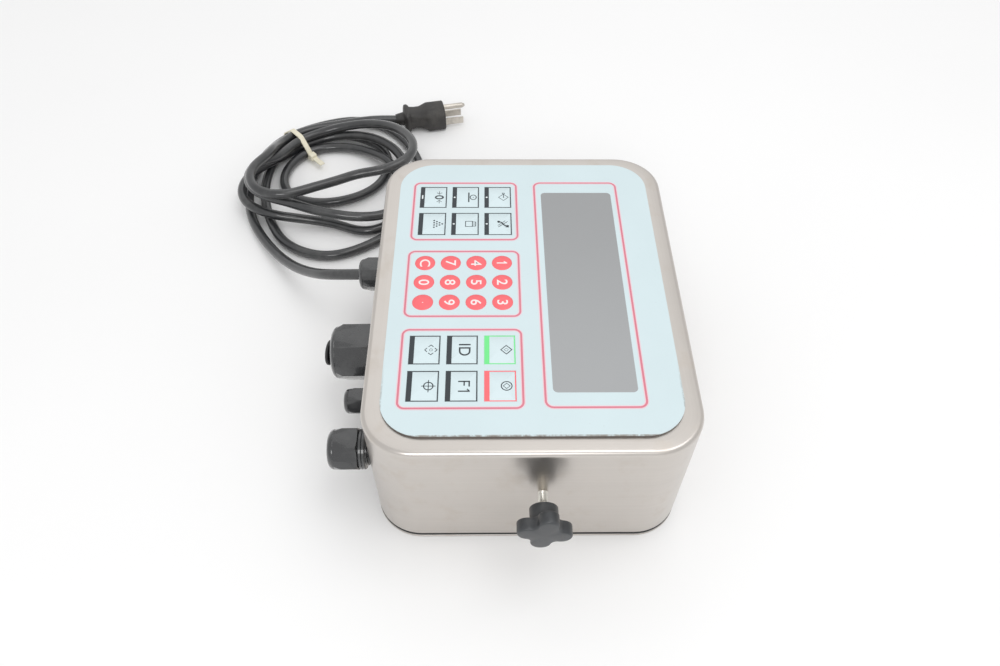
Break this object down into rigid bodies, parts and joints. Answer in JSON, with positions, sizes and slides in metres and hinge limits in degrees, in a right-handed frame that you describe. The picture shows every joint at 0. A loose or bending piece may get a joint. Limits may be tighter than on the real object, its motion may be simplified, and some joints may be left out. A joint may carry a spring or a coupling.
{
  "type": "weighing indicator",
  "caption": "Stainless steel weighing indicator with a display window, film keypad, side clamping knobs, cable glands and a bundled mains lead",
  "frame": {"origin": "centre of the rear cover's outer face, on which the indicator lies", "axes": "+Z out of the front panel, +X to the indicator's right as its user sees it, +Y to its top edge, away from the cable glands"},
  "size_m": [0.4758, 0.3477, 0.102],
  "materials": {
    "case_steel": "deep drawn stainless steel, fine straight brushing, small scratches",
    "overlay_film": "pale blue printed film, fine satin texture, faint scratches",
    "membrane_layers": "dark layered edge of adhesive and film",
    "dome_steel": "pressed steel snap domes",
    "window_plastic": "smooth grey display window",
    "display_glass": "grey display module",
    "circuit_board": "green solder mask",
    "terminal_plastic": "green moulded terminals",
    "standoff_brass": "turned brass",
    "screw_steel": "plain stainless fasteners",
    "transformer_iron": "varnished laminated core",
    "ribbon_film": "clear film with grey tracks",
    "gasket_rubber": "black sponge rubber edge",
    "stud_steel": "zinc plated thread",
    "knob_plastic": "black moulded nylon, fine grain",
    "gland_plastic": "black moulded nylon, slight sheen",
    "seal_rubber": "black rubber",
    "cord_jacket": "black jacket with a soft sheen, dusty in places",
    "tie_nylon": "aged cream nylon",
    "plug_rubber": "black moulded plug, dusty",
    "blade_brass": "nickel plated brass, worn",
    "round_key_film": "printed film with a coral ring and digit",
    "function_key_film": "printed film with a dark bar and a symbol",
    "start_key_film": "green printed film",
    "stop_key_film": "red printed film"
  },
  "bodies": {
    "case": {"housing": "case_steel", "overlay": "overlay_film", "membrane_base": "membrane_layers", "key_domes": "dome_steel", "display_window": "window_plastic", "display_glass": "display_glass", "display_board": "circuit_board", "main_board": "circuit_board", "terminal_blocks": "terminal_plastic", "board_standoffs": "standoff_brass", "board_screws": "screw_steel", "transformer": "transformer_iron", "keypad_ribbon": "ribbon_film", "rear_gasket": "gasket_rubber", "rear_cover": "case_steel", "rear_cover_screws": "screw_steel", "side_inserts": "screw_steel", "gland_body_power": "gland_plastic", "gland_cap_power": "gland_plastic", "gland_body_large": "gland_plastic", "gland_cap_large": "gland_plastic", "gland_body_small": "gland_plastic", "gland_cap_small": "gland_plastic", "gland_body_medium": "gland_plastic", "gland_cap_medium": "gland_plastic", "gland_seals": "seal_rubber", "gland_locknuts": "gland_plastic", "power_cord": "cord_jacket", "cord_coil": "cord_jacket", "cable_tie": "tie_nylon", "plug_body": "plug_rubber", "plug_blades": "blade_brass"},
    "stud_left": {"knob_stud_left": "stud_steel"},
    "stud_right": {"knob_stud_right": "stud_steel"},
    "turn_left": {"knob_left": "knob_plastic"},
    "turn_right": {"knob_right": "knob_plastic"},
    "key_1_pad": {"key_1": "round_key_film"},
    "key_2_pad": {"key_2": "round_key_film"},
    "key_3_pad": {"key_3": "round_key_film"},
    "key_4_pad": {"key_4": "round_key_film"},
    "key_5_pad": {"key_5": "round_key_film"},
    "key_6_pad": {"key_6": "round_key_film"},
    "key_7_pad": {"key_7": "round_key_film"},
    "key_8_pad": {"key_8": "round_key_film"},
    "key_9_pad": {"key_9": "round_key_film"},
    "key_clear_pad": {"key_clear": "round_key_film"},
    "key_0_pad": {"key_0": "round_key_film"},
    "key_point_pad": {"key_point": "round_key_film"},
    "key_tare_pad": {"key_tare": "function_key_film"},
    "key_print_pad": {"key_print": "function_key_film"},
    "key_zero_pad": {"key_zero": "function_key_film"},
    "key_select_pad": {"key_select": "function_key_film"},
    "key_units_pad": {"key_units": "function_key_film"},
    "key_sample_pad": {"key_sample": "function_key_film"},
    "key_start_pad": {"key_start": "start_key_film"},
    "key_identity_pad": {"key_identity": "function_key_film"},
    "key_setup_pad": {"key_setup": "function_key_film"},
    "key_stop_pad": {"key_stop": "stop_key_film"},
    "key_function_pad": {"key_function": "function_key_film"},
    "key_target_pad": {"key_target": "function_key_film"}
  },
  "joints": [
    {"name": "stud_right_slide", "type": "slide", "parent": "case", "child": "stud_right", "axis": [-0.9998, 0, 0.0184], "range_m": [-0.004, 0.007]},
    {"name": "knob_right_turn", "type": "hinge", "parent": "stud_right", "child": "turn_right", "pos_m": [0.14212, 0.0065, 0.05772], "axis": [-0.9998, 0, 0.0184], "range_deg": [-1440, 2520]},
    {"name": "stud_left_slide", "type": "slide", "parent": "case", "child": "stud_left", "axis": [0.9998, 0, 0.0184], "range_m": [-0.004, 0.007]},
    {"name": "knob_left_turn", "type": "hinge", "parent": "stud_left", "child": "turn_left", "pos_m": [-0.14212, 0.0065, 0.05772], "axis": [0.9998, 0, 0.0184], "range_deg": [-1440, 2520]},
    {"name": "key_1_press", "type": "slide", "parent": "case", "child": "key_1_pad", "axis": [0, 0, -1], "range_m": [0, 0.0004], "stiffness_N_per_m": 4000},
    {"name": "key_2_press", "type": "slide", "parent": "case", "child": "key_2_pad", "axis": [0, 0, -1], "range_m": [0, 0.0004], "stiffness_N_per_m": 4000},
    {"name": "key_3_press", "type": "slide", "parent": "case", "child": "key_3_pad", "axis": [0, 0, -1], "range_m": [0, 0.0004], "stiffness_N_per_m": 4000},
    {"name": "key_4_press", "type": "slide", "parent": "case", "child": "key_4_pad", "axis": [0, 0, -1], "range_m": [0, 0.0004], "stiffness_N_per_m": 4000},
    {"name": "key_5_press", "type": "slide", "parent": "case", "child": "key_5_pad", "axis": [0, 0, -1], "range_m": [0, 0.0004], "stiffness_N_per_m": 4000},
    {"name": "key_6_press", "type": "slide", "parent": "case", "child": "key_6_pad", "axis": [0, 0, -1], "range_m": [0, 0.0004], "stiffness_N_per_m": 4000},
    {"name": "key_7_press", "type": "slide", "parent": "case", "child": "key_7_pad", "axis": [0, 0, -1], "range_m": [0, 0.0004], "stiffness_N_per_m": 4000},
    {"name": "key_8_press", "type": "slide", "parent": "case", "child": "key_8_pad", "axis": [0, 0, -1], "range_m": [0, 0.0004], "stiffness_N_per_m": 4000},
    {"name": "key_9_press", "type": "slide", "parent": "case", "child": "key_9_pad", "axis": [0, 0, -1], "range_m": [0, 0.0004], "stiffness_N_per_m": 4000},
    {"name": "key_clear_press", "type": "slide", "parent": "case", "child": "key_clear_pad", "axis": [0, 0, -1], "range_m": [0, 0.0004], "stiffness_N_per_m": 4000},
    {"name": "key_0_press", "type": "slide", "parent": "case", "child": "key_0_pad", "axis": [0, 0, -1], "range_m": [0, 0.0004], "stiffness_N_per_m": 4000},
    {"name": "key_point_press", "type": "slide", "parent": "case", "child": "key_point_pad", "axis": [0, 0, -1], "range_m": [0, 0.0004], "stiffness_N_per_m": 4000},
    {"name": "key_tare_press", "type": "slide", "parent": "case", "child": "key_tare_pad", "axis": [0, 0, -1], "range_m": [0, 0.0004], "stiffness_N_per_m": 4000},
    {"name": "key_print_press", "type": "slide", "parent": "case", "child": "key_print_pad", "axis": [0, 0, -1], "range_m": [0, 0.0004], "stiffness_N_per_m": 4000},
    {"name": "key_zero_press", "type": "slide", "parent": "case", "child": "key_zero_pad", "axis": [0, 0, -1], "range_m": [0, 0.0004], "stiffness_N_per_m": 4000},
    {"name": "key_select_press", "type": "slide", "parent": "case", "child": "key_select_pad", "axis": [0, 0, -1], "range_m": [0, 0.0004], "stiffness_N_per_m": 4000},
    {"name": "key_units_press", "type": "slide", "parent": "case", "child": "key_units_pad", "axis": [0, 0, -1], "range_m": [0, 0.0004], "stiffness_N_per_m": 4000},
    {"name": "key_sample_press", "type": "slide", "parent": "case", "child": "key_sample_pad", "axis": [0, 0, -1], "range_m": [0, 0.0004], "stiffness_N_per_m": 4000},
    {"name": "key_start_press", "type": "slide", "parent": "case", "child": "key_start_pad", "axis": [0, 0, -1], "range_m": [0, 0.0004], "stiffness_N_per_m": 4000},
    {"name": "key_identity_press", "type": "slide", "parent": "case", "child": "key_identity_pad", "axis": [0, 0, -1], "range_m": [0, 0.0004], "stiffness_N_per_m": 4000},
    {"name": "key_setup_press", "type": "slide", "parent": "case", "child": "key_setup_pad", "axis": [0, 0, -1], "range_m": [0, 0.0004], "stiffness_N_per_m": 4000},
    {"name": "key_stop_press", "type": "slide", "parent": "case", "child": "key_stop_pad", "axis": [0, 0, -1], "range_m": [0, 0.0004], "stiffness_N_per_m": 4000},
    {"name": "key_function_press", "type": "slide", "parent": "case", "child": "key_function_pad", "axis": [0, 0, -1], "range_m": [0, 0.0004], "stiffness_N_per_m": 4000},
    {"name": "key_target_press", "type": "slide", "parent": "case", "child": "key_target_pad", "axis": [0, 0, -1], "range_m": [0, 0.0004], "stiffness_N_per_m": 4000}
  ],
  "couplings": [
    {"joint": "knob_right_turn", "follows": "stud_right_slide", "rad_per_m": 6283.2},
    {"joint": "knob_left_turn", "follows": "stud_left_slide", "rad_per_m": 6283.2}
  ]
}
